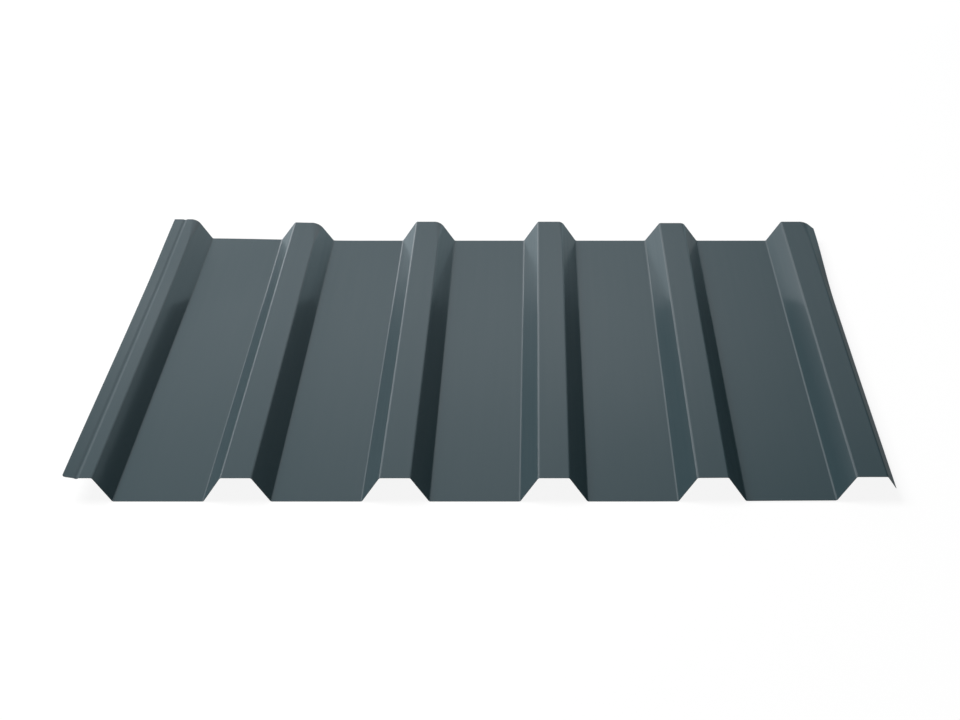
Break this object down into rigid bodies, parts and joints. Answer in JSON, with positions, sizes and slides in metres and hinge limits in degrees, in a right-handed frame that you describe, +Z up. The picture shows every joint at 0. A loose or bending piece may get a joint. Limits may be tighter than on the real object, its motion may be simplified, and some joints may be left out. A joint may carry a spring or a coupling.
{
  "type": "box-profile corrugated metal sheet",
  "caption": "Painted steel roofing sheet, roll-formed into flat pans and trapezoidal ribs, with a grooved underlap rib on one edge and a lipped overlap rib on the other.",
  "frame": {"origin": "centre of the sheet's bounding box, at the underside of the pans that it lies on", "axes": "+X across the ribs towards the overlapping edge with the lip, +Y along the ribs, +Z up, out of the painted face"},
  "size_m": [1.085, 0.875, 0.0355],
  "materials": {
    "coated_steel": "semi-gloss slate grey polyester coil coating over galvanised steel"
  },
  "bodies": {
    "root": {"profiled_sheet": "coated_steel"}
  },
  "joints": []
}
